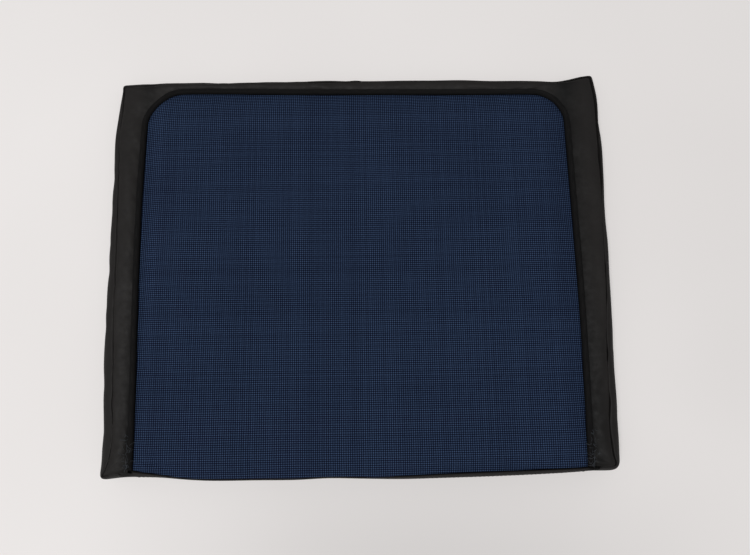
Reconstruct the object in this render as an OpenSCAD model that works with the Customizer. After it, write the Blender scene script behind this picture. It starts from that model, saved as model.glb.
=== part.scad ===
// Padded back protector: a wedge-shaped pad with a mesh front, a faux-leather cover,
// a corded edge round the mesh and a zip in the bottom wall.
// It lies on its back: X is across, +Y runs to the thin top edge, +Z is out of the mesh.

/* [Cover] */
// Width across the cover
cover_w = 400; // [320:1:460]
// Length from the bottom edge to the top edge
cover_l = 322; // [280:1:400]
// Height of the front surface at the thick bottom edge
near_h = 26; // [25:0.5:32]
// Height of the front surface at the thin top edge
far_h = 12; // [11.5:0.5:16]
// Thickness of the faux leather
skin_t = 1.2; // [0.8:0.1:1.4]
// Corner radius at the bottom edge
near_r = 8; // [8:1:18]
// Corner radius at the top edge
far_r = 3; // [2:0.5:6]

/* [Mesh window] */
// Distance from each side of the cover to the mesh
mesh_from_side = 27.5; // [27.5:0.5:60]
// Radius of the mesh panel's top corners
mesh_r = 26; // [15:1:40]
// Thickness of the mesh
mesh_t = 1.6; // [1:0.1:2]
// Distance from the cover's top edge to the mesh
mesh_from_top = 13; // [13:0.5:30]
// Distance from the cover's bottom edge to the mesh
mesh_from_bottom = 6.8; // [6:0.2:8]

/* [Piping] */
// Outer diameter of the corded piping
piping_d = 5; // [4:0.2:5.4]
// Diameter of the cord inside it
cord_d = 3.6; // [2.4:0.1:3.6]

/* [Padding] */
// Depth of the layer behind the border and the mesh, below the front surface
backing_depth = 4.2; // [3.8:0.1:4.2]
// Thickness of the comfort foam
comfort_t = 4; // [2:0.5:4]
// Thickness of the stiffener sheet
stiffener_t = 1.5; // [1:0.1:1.5]
// Corner radius of the padding
padding_r = 18; // [14:1:30]

/* [Zip] */
// Height of the zip's centre line above the back
zip_z = 10.5; // [10.5:0.1:10.8]
// Height of the recess that the zip lies in
recess_h = 9.4; // [9.2:0.1:9.6]
// Depth of the recess
recess_d = 8; // [7.4:0.1:8]
// Diameter of each coil
coil_d = 2.2; // [2:0.1:2.2]

/* [Hidden] */
$fn = 64;

leather = [0.14, 0.14, 0.145];
lining = [0.30, 0.30, 0.31];
mesh_blue = [0.13, 0.17, 0.26];
cord_black = [0.07, 0.07, 0.075];
gunmetal = [0.32, 0.32, 0.34];
foam_grey = [0.55, 0.56, 0.58];
foam_cream = [0.88, 0.84, 0.72];
sheet_white = [0.90, 0.91, 0.92];

// Frame of the cover
near_y = -cover_l / 2;
far_y = cover_l / 2;
side_x = cover_w / 2;
slope = (near_h - far_h) / cover_l;
slope_angle = atan(slope);
function front_z(y) = near_h - (y - near_y) * slope;
function along_slope(y) = (y - near_y) / cos(slope_angle);

// Mesh window and the piping that runs round it
mesh_x = side_x - mesh_from_side;
mesh_far_y = far_y - mesh_from_top;
mesh_near_y = near_y + mesh_from_bottom;
piping_gap = piping_d + 0.2;
piping_x = mesh_x + piping_gap / 2;
piping_far_y = mesh_far_y + piping_gap / 2;
piping_bend_r = mesh_r + piping_gap / 2;
piping_end_gap = 0.2;
flange_t = 1;
flange_top = piping_d / 2 + 0.05;
cord_play = 0.05;

// Walls: the side walls run round the bottom corners, where the bottom strips take over
wall_split_y = far_y - 4;
strip_x = side_x - 20;
wadding_play = 0.2;

// Zip recess, seen from the bottom edge
recess_lo_z = zip_z - recess_h / 2;
recess_hi_z = zip_z + recess_h / 2;
tape_y = near_y + recess_d;
tape_t = 0.6;
tape_gap = 0.9;
tape_reach = 9.5;
tape_x = strip_x - 4;
coil_gap = 0.65;
coil_sink = 0.2;
coil_x = strip_x - 18;
coil_front_y = tape_y - coil_d + coil_sink;
stop_l = 2.5;
stop_gap = 0.3;
tab_x = strip_x - 12;

// Slider and pull
slider_x = coil_x - 7;
slider_l = 12;
slider_w = 8.4;
nose_l = 2;
nose_w = 5.4;
plate_t = 1.2;
slider_play = 0.3;
plate_back_y = coil_front_y - slider_play;
plate_front_y = plate_back_y - plate_t;
inner_plate_t = 1;
web_l = 3.6;
web_t = 0.6;
lip_t = 0.8;
bail_l = 8;
bail_w = 2.4;
bail_leg = 1.8;
bail_tunnel = 1.8;
bail_bar = 1.2;
pull_l = 22;
pull_w = 6;
pull_t = 1.1;
pull_eye_l = 5.2;
pull_eye_w = 3.6;
pull_y = plate_front_y - 0.95;

// Padding
padding_x = side_x - 7;
padding_near_y = near_y + recess_d + 3.6;
padding_far_y = far_y - 6;
padding_play = 0.2;
padding_front = backing_depth + padding_play;
stiffener_z = skin_t + padding_play;

// Flat shapes

// Outline of the cover, drawn in by inset
module outline(inset = 0) {
  w = side_x - inset;
  rn = near_r - inset;
  rf = max(far_r - inset, 0.5);
  lo = near_y + inset;
  hi = far_y - inset;
  translate([-w, lo + rn]) square([2 * w, hi - lo - rn - rf]);
  translate([-w + rn, lo]) square([2 * (w - rn), rn]);
  translate([-w + rf, hi - rf]) square([2 * (w - rf), rf]);
  for (s = [-1, 1]) {
    translate([s * (w - rn), lo + rn]) circle(rn);
    translate([s * (w - rf), hi - rf]) circle(rf);
  }
}

// Panel with two rounded top corners and a straight bottom edge
module arched(half_w, hi, r, lo) {
  translate([-half_w, lo]) square([2 * half_w, hi - r - lo]);
  translate([-half_w + r, lo]) square([2 * (half_w - r), hi - lo]);
  for (s = [-1, 1]) translate([s * (half_w - r), hi - r]) circle(r);
}

// Mesh window, drawn out by grow
module window(grow = 0, lo = mesh_near_y) {
  arched(mesh_x + grow, mesh_far_y + grow, mesh_r + grow, lo);
}

// Outline of the padding, with four rounded corners
module padding_outline() {
  w = padding_x;
  r = padding_r;
  arched(w, padding_far_y, r, padding_near_y + r);
  translate([-w + r, padding_near_y]) square([2 * (w - r), r + 1]);
  for (s = [-1, 1]) translate([s * (w - r), padding_near_y + r]) circle(r);
}

// Solids that follow the sloping front

// A profile of [y, z] points, extruded across the cover
module across(points, width) {
  rotate([90, 0, 90]) translate([0, 0, -width / 2]) linear_extrude(width) polygon(points);
}

// Everything between two depths below the front surface
module front_layer(top, bottom) {
  lo = near_y - 5;
  hi = far_y + 5;
  across([
    [lo, front_z(lo) - bottom], [hi, front_z(hi) - bottom],
    [hi, front_z(hi) - top], [lo, front_z(lo) - top]
  ], cover_w + 10);
}

// Everything from a flat height up to a depth below the front surface
module under_front(base, depth) {
  lo = near_y - 5;
  hi = far_y + 5;
  across([[lo, base], [hi, base], [hi, front_z(hi) - depth], [lo, front_z(lo) - depth]], cover_w + 10);
}

// A flat shape cut as a layer below the front surface
module cut_layer(top, bottom) {
  intersection() {
    linear_extrude(near_h + 5) children();
    front_layer(top, bottom);
  }
}

// A flat shape carried along the piping's line on the front surface
module piping_run() {
  bottom = along_slope(mesh_near_y) + piping_end_gap;
  bend = along_slope(piping_far_y) - piping_bend_r;
  bend_x = piping_x - piping_bend_r;
  translate([0, near_y, near_h]) rotate([-slope_angle, 0, 0]) {
    for (s = [-1, 1])
      translate([s * piping_x, bottom, 0]) rotate([-90, 0, 0]) linear_extrude(bend - bottom) children();
    translate([-bend_x, bend + piping_bend_r, 0]) rotate([0, 90, 0]) linear_extrude(2 * bend_x) children();
    for (s = [0, 1])
      mirror([s, 0, 0]) translate([bend_x, bend, 0])
        rotate_extrude(angle = 90) translate([piping_bend_r, 0]) children();
  }
}

// A wall round the edge of the cover, between the back panel and the front
module edge_wall() {
  intersection() {
    linear_extrude(near_h + 5) difference() {
      outline();
      outline(skin_t);
    }
    under_front(skin_t, skin_t);
  }
}

// Cover panels

module back_panel() {
  color(leather) linear_extrude(skin_t) outline();
}

module front_border() {
  color(leather) cut_layer(0, skin_t) difference() {
    outline();
    window(piping_gap, near_y - 1);
  }
}

module border_wadding() {
  color(lining) cut_layer(skin_t, backing_depth) difference() {
    outline(skin_t + wadding_play);
    window(piping_gap, near_y - 1);
  }
}

module mesh_panel() {
  color(mesh_blue) cut_layer(0, mesh_t) window();
}

module mesh_backing() {
  color(lining) cut_layer(mesh_t, backing_depth) window();
}

module piping_cover() {
  color(cord_black) piping_run() difference() {
    circle(d = piping_d);
    circle(d = cord_d + 2 * cord_play);
  }
}

module piping_cord() {
  color("white") piping_run() circle(d = cord_d);
}

// The piping's seam allowance, which stands between the mesh's layers and the border's
module piping_flange() {
  color(cord_black) cut_layer(flange_top, backing_depth) difference() {
    window(piping_gap / 2 + flange_t / 2);
    window(piping_gap / 2 - flange_t / 2, mesh_near_y - 1);
  }
}

module side_wall_left() {
  color(leather) intersection() {
    edge_wall();
    translate([-side_x - 5, near_y - 5, 0]) cube([side_x + 5 - strip_x, wall_split_y - near_y + 5, near_h]);
  }
}

module side_wall_right() {
  mirror([1, 0, 0]) side_wall_left();
}

module top_edge_binding() {
  color(leather) intersection() {
    edge_wall();
    translate([-side_x - 5, wall_split_y, 0]) cube([cover_w + 10, 10, near_h]);
  }
}

// Bottom wall and zip

// The lip above the zip: top flange, wall and the hem that turns in to the zip tape
module bottom_strip_upper() {
  lo = recess_hi_z;
  hem = [
    [near_y, lo], [near_y + recess_d, lo], [near_y + recess_d, lo + skin_t],
    [near_y + skin_t, lo + skin_t], [near_y + skin_t, front_z(near_y + skin_t) - skin_t]
  ];
  color(leather) {
    across([each hem, [near_y, near_h - skin_t]], 2 * strip_x);
    across([
      each hem, [mesh_near_y, front_z(mesh_near_y) - skin_t],
      [mesh_near_y, front_z(mesh_near_y)], [near_y, near_h]
    ], 2 * (mesh_x + piping_gap));
  }
}

// The lip below the zip
module bottom_strip_lower() {
  hem_z = recess_lo_z - skin_t;
  color(leather) across([
    [near_y, skin_t], [near_y + skin_t, skin_t], [near_y + skin_t, hem_z],
    [near_y + recess_d, hem_z], [near_y + recess_d, recess_lo_z], [near_y, recess_lo_z]
  ], 2 * strip_x);
}

module zip_tape(side) {
  lo = side > 0 ? zip_z + tape_gap : zip_z - tape_reach + 0.7;
  hi = side > 0 ? zip_z + tape_reach : zip_z - tape_gap;
  color(cord_black) translate([-tape_x, tape_y, lo]) cube([2 * tape_x, tape_t, hi - lo]);
}

module zip_tape_upper() { zip_tape(1); }
module zip_tape_lower() { zip_tape(-1); }

// A coil, flat where it is sewn to its tape
module zip_coil(side) {
  z = zip_z + side * (coil_gap + coil_d / 2);
  color("dimgray") difference() {
    translate([-coil_x, coil_front_y + coil_d / 2, z]) rotate([0, 90, 0]) cylinder(d = coil_d, h = 2 * coil_x);
    translate([-coil_x - 1, tape_y, z - coil_d]) cube([2 * coil_x + 2, coil_d, 2 * coil_d]);
  }
}

module zip_coil_upper() { zip_coil(1); }
module zip_coil_lower() { zip_coil(-1); }

// One clip on each tape, past the end of its coil
module zip_top_stops() {
  color(gunmetal) for (s = [-1, 1])
    translate([coil_x + stop_gap, tape_y - 1.8, zip_z + s * 1.9 - 1]) cube([stop_l, 1.8, 2]);
}

// One clip that holds both coils together at the other end
module zip_bottom_stop() {
  color(gunmetal) translate([-coil_x - stop_gap - stop_l, tape_y - 1.8, zip_z - 2.9]) cube([stop_l, 1.8, 5.8]);
}

// A folded tab over the tape ends, with a leg that closes the end of the recess
module zip_end_tab_right() {
  color(leather) {
    translate([tab_x, tape_y - skin_t, recess_lo_z]) cube([strip_x - tab_x, skin_t, recess_h]);
    translate([strip_x - skin_t, near_y, recess_lo_z]) cube([skin_t, recess_d - skin_t, recess_h]);
  }
}

module zip_end_tab_left() {
  mirror([1, 0, 0]) zip_end_tab_right();
}

// Two plates joined by a web that runs in the slot between the coils, and a bail for the pull
module zip_slider() {
  inner_y = tape_y + tape_t + slider_play;
  lip_y = tape_y - slider_play;
  color(gunmetal) translate([slider_x, 0, zip_z]) {
    slider_plate(plate_back_y, plate_t);
    slider_plate(inner_y + inner_plate_t, inner_plate_t);
    translate([slider_l / 2 - web_l, plate_back_y, -web_t / 2]) cube([web_l, inner_y - plate_back_y, web_t]);
    for (s = [0, 1]) mirror([0, 0, s])
      translate([-slider_l / 2, plate_back_y, slider_w / 2 - lip_t])
        cube([slider_l - nose_l, lip_y - plate_back_y, lip_t]);
    bail();
  }
}

// A plate with a narrowed nose, from its back face forwards
module slider_plate(back_y, t) {
  tail = -slider_l / 2;
  nose = slider_l / 2;
  half = slider_w / 2;
  translate([0, back_y, 0]) rotate([90, 0, 0]) linear_extrude(t) polygon([
    [tail, -half], [nose - nose_l, -half], [nose, -nose_w / 2],
    [nose, nose_w / 2], [nose - nose_l, half], [tail, half]
  ]);
}

// An arch on the slider's outer plate
module bail() {
  rise = bail_tunnel + bail_bar;
  translate([0, plate_front_y, -bail_w / 2]) linear_extrude(bail_w) difference() {
    polygon([
      [-bail_l / 2, 0], [bail_l / 2, 0], [bail_l / 2, -rise * 0.5],
      [bail_l / 2 - 1.4, -rise], [-bail_l / 2 + 1.4, -rise], [-bail_l / 2, -rise * 0.5]
    ]);
    translate([-bail_l / 2 + bail_leg, -bail_tunnel]) square([bail_l - 2 * bail_leg, bail_tunnel + 1]);
  }
}

// A flat tag with an eye that passes round the bail; its round bar turns under the arch
module zip_pull() {
  bar_r = pull_t / 2;
  tip_r = pull_w / 2;
  color(gunmetal) translate([slider_x, pull_y, zip_z]) {
    translate([0, 0, -pull_w / 2]) cylinder(r = bar_r, h = pull_w);
    rotate([-90, 0, 0]) translate([0, 0, -pull_t / 2]) linear_extrude(pull_t) difference() {
      union() {
        translate([-pull_l + tip_r, -pull_w / 2]) square([pull_l - tip_r, pull_w]);
        translate([-pull_l + tip_r, 0]) circle(tip_r);
      }
      translate([-pull_eye_l, -pull_eye_w / 2]) square([pull_eye_l + 1, pull_eye_w]);
    }
  }
}

// Padding

module comfort_foam() {
  color(foam_cream) intersection() {
    linear_extrude(near_h) padding_outline();
    front_layer(padding_front, padding_front + comfort_t);
  }
}

module impact_foam() {
  color(foam_grey) intersection() {
    linear_extrude(near_h) padding_outline();
    under_front(stiffener_z + stiffener_t, padding_front + comfort_t);
  }
}

module stiffener_sheet() {
  color(sheet_white) translate([0, 0, stiffener_z]) linear_extrude(stiffener_t) padding_outline();
}

back_panel();
front_border();
border_wadding();
mesh_panel();
mesh_backing();
piping_cover();
piping_cord();
piping_flange();
side_wall_left();
side_wall_right();
top_edge_binding();
bottom_strip_upper();
bottom_strip_lower();
zip_tape_upper();
zip_tape_lower();
zip_coil_upper();
zip_coil_lower();
zip_top_stops();
zip_bottom_stop();
zip_end_tab_left();
zip_end_tab_right();
zip_slider();
zip_pull();
comfort_foam();
impact_foam();
stiffener_sheet();
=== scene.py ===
import math

import bpy
import numpy as np
from mathutils import Matrix, Vector


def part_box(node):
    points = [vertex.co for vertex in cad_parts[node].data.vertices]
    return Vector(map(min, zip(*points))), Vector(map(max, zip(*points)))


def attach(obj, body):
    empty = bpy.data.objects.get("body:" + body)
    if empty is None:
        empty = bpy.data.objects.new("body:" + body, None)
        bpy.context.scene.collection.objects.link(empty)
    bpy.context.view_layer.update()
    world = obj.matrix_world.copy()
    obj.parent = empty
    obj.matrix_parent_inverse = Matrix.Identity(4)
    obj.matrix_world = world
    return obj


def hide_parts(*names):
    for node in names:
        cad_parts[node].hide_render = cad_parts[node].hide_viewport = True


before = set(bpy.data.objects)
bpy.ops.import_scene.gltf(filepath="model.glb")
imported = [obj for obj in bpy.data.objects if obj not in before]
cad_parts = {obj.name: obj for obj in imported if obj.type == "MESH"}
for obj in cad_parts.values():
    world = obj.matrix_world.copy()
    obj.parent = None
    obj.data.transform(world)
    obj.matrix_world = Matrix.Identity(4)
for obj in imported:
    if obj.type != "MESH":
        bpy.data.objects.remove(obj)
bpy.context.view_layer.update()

MM = 0.001
scene = bpy.context.scene

# ---------------------------------------------------------------- camera, matched to the photo's perspective
CAMERA_PLACE = (13.3, -73.2, 450.3)
CAMERA_FORWARD = (-0.00122, 0.14427, -0.98954)
CAMERA_UP = (0.01743, 0.98939, 0.14423)
camera_data = bpy.data.cameras.new("camera")
camera = bpy.data.objects.new("camera", camera_data)
scene.collection.objects.link(camera)
camera_data.sensor_width = 36.0
camera_data.lens = 26.88
forward = Vector(CAMERA_FORWARD).normalized()
right = forward.cross(Vector(CAMERA_UP)).normalized()
up = right.cross(forward)
camera.matrix_world = (
    Matrix.Translation(Vector(CAMERA_PLACE) * MM)
    @ Matrix((right, up, -forward)).transposed().to_4x4()
)
scene.camera = camera


# ---------------------------------------------------------------- sizes from the CAD, in millimetres
def node_box(name):
    """The lowest and the highest corner of a CAD node's box."""
    lo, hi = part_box(name)
    return np.array(lo) / MM, np.array(hi) / MM


border_lo, border_hi = node_box("front_border")
strip_hi = node_box("bottom_strip_lower")[1]
tab_lo, tab_hi = node_box("zip_end_tab_right")
foam_lo, foam_hi = node_box("comfort_foam")
SIDE_X = border_hi[0]
NEAR_Y, FAR_Y = border_lo[1], border_hi[1]
NEAR_H, FAR_H = border_hi[2], 12.0
SLOPE = (FAR_H - NEAR_H) / (FAR_Y - NEAR_Y)
MESH_NEAR_Y = node_box("mesh_panel")[0][1]
STRIP_X = strip_hi[0]
CHANNEL_LO, CHANNEL_HI = strip_hi[2], node_box("bottom_strip_upper")[0][2]
TAPE_Y = node_box("zip_tape_upper")[0][1]
# Radius of the bottom corners seen from above, and thickness of the leather
NEAR_R = 7.0
SKIN = 1.2
# Radius of the piping, and distance from its centre line to the panels that it joins
BEAD_R = 2.4
BEAD_HALF = 1.9


def front_z(y):
    """Height of the cover's front at y."""
    return NEAR_H + (np.asarray(y, float) - NEAR_Y) * SLOPE


# ---------------------------------------------------------------- curves and grids
def through(at, curve):
    """The height of a smooth curve, given as (places, values), at each of the places at."""
    keys, values = (np.array(c, float) for c in curve)
    slopes = np.gradient(values, keys)
    i = np.clip(np.searchsorted(keys, at, side="right") - 1, 0, len(keys) - 2)
    h = keys[i + 1] - keys[i]
    t = np.clip((np.asarray(at, float) - keys[i]) / h, 0, 1)
    rise = t * t * (3 - 2 * t)
    return (
        values[i] * (1 - rise) + values[i + 1] * rise
        + h * t * (1 - t) * (slopes[i] * (1 - t) - slopes[i + 1] * t)
    )


def by_side(x, y, left, right):
    """The height at y of the left curve where x is negative, and of the right curve elsewhere."""
    return np.where(x < 0, through(y, left), through(y, right))


def step(x, lo, hi):
    """A smooth rise from 0 at lo to 1 at hi."""
    t = np.clip((np.asarray(x, float) - lo) / (hi - lo), 0, 1)
    return t * t * (3 - 2 * t)


def ripple(x, y, wavelength, seed, waves=7):
    """Smooth irregular waves, mostly between -1 and 1."""
    rng = np.random.default_rng(seed)
    total = 0.0
    for _ in range(waves):
        angle, phase = rng.uniform(0, math.pi), rng.uniform(0, 2 * math.pi)
        k = 2 * math.pi / (wavelength * rng.uniform(0.75, 1.5))
        total = total + np.sin(k * (x * math.cos(angle) + y * math.sin(angle)) + phase)
    return total * 0.8 / math.sqrt(waves)


def outward(path):
    """Unit normals to the left of an open path in the plane."""
    d = np.gradient(path, axis=0)
    d /= np.linalg.norm(d, axis=1)[:, None]
    return np.stack([-d[:, 1], d[:, 0]], 1)


def lengths(points):
    """The distance along a polyline to each of its points."""
    return np.concatenate([[0], np.cumsum(np.linalg.norm(np.diff(points, axis=0), axis=1))])


def resample(points, count):
    """The polyline's points at count + 1 even places."""
    points = np.array(points, float)
    gone = lengths(points)
    at = np.linspace(0, gone[-1], count + 1)
    return np.stack([np.interp(at, gone, points[:, k]) for k in range(points.shape[1])], 1)


def arc(cx, cy, r, start, stop, n=24):
    """Points on an arc, between two angles in degrees."""
    a = np.radians(np.linspace(start, stop, n))
    return np.stack([cx + r * np.cos(a), cy + r * np.sin(a)], 1)


def coons(left, right, bottom, top):
    """Fills four edges with a grid. left and right run up, bottom and top run to the right."""
    v = (lengths(left) / lengths(left)[-1])[:, None, None]
    u = (lengths(bottom) / lengths(bottom)[-1])[None, :, None]
    sides = (1 - u) * left[:, None] + u * right[:, None]
    ends = (1 - v) * bottom[None] + v * top[None]
    corners = (
        (1 - u) * (1 - v) * left[0] + u * (1 - v) * right[0] + (1 - u) * v * left[-1] + u * v * right[-1]
    )
    return sides + ends - corners


def tighten(grid, share=0.3):
    """Draws the second row in from each edge towards that edge."""
    for g in (grid, grid[::-1], grid.transpose(1, 0, 2), grid.transpose(1, 0, 2)[::-1]):
        g[1] = g[0] + (g[1] - g[0]) * share
    return grid


def to_end(count):
    """How many steps each place in a row of count places lies from the nearer end."""
    return np.minimum(np.arange(count), np.arange(count)[::-1])


def to_rim(grid):
    """How many cells each point of a grid lies from the nearest edge."""
    rows, columns = (to_end(n) for n in grid.shape[:2])
    return np.minimum(rows[:, None], columns[None, :])


def lift(plane, z):
    """Points in the plane with their heights."""
    return np.concatenate([plane, np.broadcast_to(z, plane.shape[:-1])[..., None]], -1)


def level_row(x, y, z):
    """A row of points along x, all at the same height z."""
    return np.stack([x, np.broadcast_to(y, len(x)), np.full(len(x), z)], 1)


def cells(index):
    """The quads of a grid of vertex numbers, wound rows first."""
    return np.stack([index[:-1, :-1], index[1:, :-1], index[1:, 1:], index[:-1, 1:]], -1).reshape(-1, 4)


def grid_cells(grid):
    """The quads of a grid of points."""
    return cells(np.arange(grid[..., 0].size).reshape(grid.shape[:2]))


def tube_faces(rings, sides, start=0):
    """The faces of a tube of rings of points, closed at both ends."""
    index = start + np.arange(rings * sides).reshape(rings, sides)
    index = np.concatenate([index, index[:, :1]], 1)
    return cells(index).tolist() + [index[0, :-1].tolist(), index[-1, :-1][::-1].tolist()]


# ---------------------------------------------------------------- the cover's edges
# How far the soft edge falls inside the CAD outline, along each side, as (places, distances)
LEFT_EDGE = (
    [-161, -149, -132, -101, -47, 17, 76, 116, 140, 161],
    [4.7, 5.2, 4.0, 2.7, 1.0, 0.8, 0.3, 0.5, 2.3, 3.9],
)
RIGHT_EDGE = (
    [-161, -150, -140, -122, -62, -10, 30, 70, 116, 140, 161],
    [7.2, 6.4, 5.6, 5.2, 2.6, 0.7, -0.1, -0.6, -0.5, -0.1, 2.4],
)
TOP_EDGE = (
    [-200, -166, -107, -48, 16, 79, 130, 155, 170, 180, 189, 200],
    [3.2, 1.8, 2.0, 1.9, 2.1, 2.5, 4.2, 4.8, 5.8, 4.5, 2.4, 1.5],
)
BOTTOM_EDGE = (
    [-200, -185, -165, -148, -120, -80, -45, -25, 29, 65, 102, 150, 165, 180, 200],
    [1.3, 2.7, 4.1, 3.7, 1.6, 1.0, 0.8, 1.8, -0.2, 0.1, 0.7, 2.2, 2.9, 2.6, 3.2],
)
# Half-width of the piping's line along each side, its height along the top, and the mesh's lower end
LEFT_BEAD = ([-161, -147, -100, -25, 56, 116, 161], [169.4, 169.8, 170.9, 173.4, 175.2, 174.8, 174.8])
RIGHT_BEAD = ([-161, -152, -106, -31, 50, 110, 161], [168.2, 168.6, 170.3, 172.2, 172.7, 172.7, 172.7])
TOP_BEAD = (
    [-175, -149, -105, -47, 15, 78, 145, 175],
    [150.4, 150.2, 149.4, 147.8, 146.6, 145.4, 144.5, 144.3],
)
MESH_END = (
    [-175, -150, -135, -118, -70, -45, -25, 10, 29, 65, 120, 160, 175],
    [3.2, 0.4, -1.8, -3.3, -3.9, -4.0, -3.4, -4.2, -3.8, -2.6, -1.2, -0.2, 0.4],
)
# How far the seam of border and wall lies inside the edge
LEFT_SEAM = ([-161, -150, -138, -100, -16, 66, 120, 161], [3.4, 7.0, 10.4, 11.0, 8.7, 6.2, 4.2, 2.2])
RIGHT_SEAM = (
    [-161, -150, -138, -107, -54, -20, 24, 58, 120, 161],
    [3.4, 6.6, 8.6, 8.4, 7.8, 6.2, 5.6, 4.2, 3.0, 2.2],
)

# Cells along the edge: round a bottom corner, up a side and along the top
CORNER_CELLS, LEG_CELLS, TOP_CELLS = 20, 50, 72
LEFT_N = CORNER_CELLS + LEG_CELLS
N = 2 * LEFT_N + TOP_CELLS
# Where the walls start, and where a side wall gives way to the top binding
WALL_START = 2
WALL_SPLIT = LEFT_N - 1
# The piping's line before it is bent to the photo's: its half-width, its far end and its bends' radius
BEAD_X, BEAD_FAR_Y, BEND_R = 175.1, 150.6, 28.6
# Places in y where the cells of the bottom corners end, on the edge and on the piping
EDGE_LEG_Y, BEAD_LEG_Y = -118, -125
# Distance from the middle at which the left and right curves start to act on the edge, and their fade
SIDE_FROM, SIDE_OVER = 150, 50
# Places in y where the top's curves start to act on the edge, and start and end on the piping, and
# distance below the middle where the bottom's curves start
EDGE_TOP_FROM, BEAD_TOP_FROM, BEAD_TOP_AT, BOTTOM_FROM = 60, 20, 150, 100
# The piping's top left bend is rounder than its right one: place, depth and spread of the cut
CUT_X, CUT_Y, CUT_DEPTH, CUT_WIDTH = -166, 142, 1.9, 17


def mirrored(left, top):
    """One line from its left part, its top part and the left part's mirror image."""
    return np.vstack([left, top[1:-1], (left * [-1, 1])[::-1]])


def edge_line():
    """The cover's outermost line, from the bottom left over the top to the bottom right."""
    bend = arc(-SIDE_X + NEAR_R, NEAR_Y + NEAR_R, NEAR_R, 270, 180)
    left = np.vstack([
        resample([[-BEAD_X + BEAD_HALF, NEAR_Y], [-STRIP_X, NEAR_Y]], WALL_START),
        resample([[-STRIP_X, NEAR_Y], *bend, [-SIDE_X, EDGE_LEG_Y]], CORNER_CELLS - WALL_START)[1:],
        resample([[-SIDE_X, EDGE_LEG_Y], [-SIDE_X, FAR_Y]], LEG_CELLS)[1:],
    ])
    path = mirrored(left, resample([[-SIDE_X, FAR_Y], [SIDE_X, FAR_Y]], TOP_CELLS))
    x, y = path.T
    side = np.clip((np.abs(x) - SIDE_FROM) / SIDE_OVER, 0, 1)
    drop = step(y, EDGE_TOP_FROM, FAR_Y) * through(x, TOP_EDGE)
    rise = step(-y, BOTTOM_FROM, -NEAR_Y) * through(x, BOTTOM_EDGE)
    return np.stack([x - np.sign(x) * by_side(x, y, LEFT_EDGE, RIGHT_EDGE) * side, y - drop + rise], 1)


def bead_line():
    """The piping's centre line, from the bottom left over the top to the bottom right."""
    cx, cy = BEAD_X - BEND_R, BEAD_FAR_Y - BEND_R
    left = np.vstack([
        resample([[-BEAD_X, MESH_NEAR_Y], [-BEAD_X, BEAD_LEG_Y]], CORNER_CELLS),
        resample([[-BEAD_X, BEAD_LEG_Y], *arc(-cx, cy, BEND_R, 180, 135)], LEG_CELLS)[1:],
    ])
    top = resample([*arc(-cx, cy, BEND_R, 135, 90), *arc(cx, cy, BEND_R, 90, 45)], TOP_CELLS)
    path = mirrored(left, top)
    x, y = path.T
    half = by_side(x, y, LEFT_BEAD, RIGHT_BEAD)
    side = np.sign(x) * (half - BEAD_X) * np.clip(np.abs(x) / BEAD_X, 0, 1)
    rise = (through(x, TOP_BEAD) - BEAD_FAR_Y) * step(y, BEAD_TOP_FROM, BEAD_TOP_AT)
    drop = through(x, MESH_END) * step(-y, BOTTOM_FROM, -MESH_NEAR_Y)
    cut = CUT_DEPTH * np.exp(-((x - CUT_X) ** 2 + (y - CUT_Y) ** 2) / CUT_WIDTH**2)
    return np.stack([x + side + cut, y + rise + drop - cut], 1)


edge, bead = edge_line(), bead_line()
edge_out, bead_out = outward(edge), outward(bead)
seam_inset = by_side(edge[:, 0], edge[:, 1], LEFT_SEAM, RIGHT_SEAM)
seam = edge - edge_out * seam_inset[:, None]


# ---------------------------------------------------------------- the cover as one sewn shell
shell = []


def keep(points):
    """Adds points to the shell and returns their numbers, in the same layout."""
    first = sum(len(p) for p in shell)
    shell.append(points.reshape(-1, 3))
    return first + np.arange(points[..., 0].size).reshape(points.shape[:-1])


# Mesh window: dips to its seams, but much less in the left and middle of its lower end
DIP = [2.2, 0.8, 0.0]
FLAT_SHARE, FLAT_FROM, FLAT_TO = 0.7, (-165, -130), (10, 60)
inner = bead - bead_out * BEAD_HALF
ends_x = np.linspace(inner[0, 0], inner[-1, 0], TOP_CELLS + 1)
lower_end = np.stack([ends_x, MESH_NEAR_Y + through(ends_x, MESH_END)], 1)
lower_end[0], lower_end[-1] = inner[0], inner[-1]
upper_end = inner[LEFT_N : N - LEFT_N + 1]
flat_window = tighten(coons(inner[: LEFT_N + 1], inner[::-1][: LEFT_N + 1], lower_end, upper_end))
from_rim = to_rim(flat_window)
dip = np.choose(np.minimum(from_rim, 2), DIP)
flat_part = step(ends_x, *FLAT_FROM) * (1 - step(ends_x, *FLAT_TO))
dip[:2] *= 1 - FLAT_SHARE * flat_part * (to_end(TOP_CELLS + 1) > 1)
window = keep(lift(flat_window, front_z(flat_window[..., 1]) - dip))

# Border: from the piping's outer side to the seam with the wall, with a deeper groove there on the right
ACROSS = np.array([0, 0.07, 0.2, 0.4, 0.65, 0.87, 0.97, 1])
ARCH = np.array([-2.8, -2.3, -1.2, -0.3, 0.15, 0.15, -0.2, -1.4])
SEAM_DROP = 1.6
GROOVE_SPREAD = 60
FULL_ARCH_WIDTH = 9
outer = bead + bead_out * BEAD_HALF
flat_border = outer[:, None] * (1 - ACROSS[:, None]) + seam[:, None] * ACROSS[:, None]
groove = 1 + np.tanh(edge[:, 0] / GROOVE_SPREAD)
arch = ARCH - SEAM_DROP * ACROSS**2 - groove[:, None] * (ACROSS == 1)
chord = arch[:, :1] * (1 - ACROSS) + arch[:, -1:] * ACROSS
width = np.linalg.norm(seam - outer, axis=1)[:, None]
arched = np.minimum(width / FULL_ARCH_WIDTH, 1) ** 1.5
border_z = front_z(flat_border[..., 1]) + chord + (arch - chord) * arched
border = keep(lift(flat_border, border_z))

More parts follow.
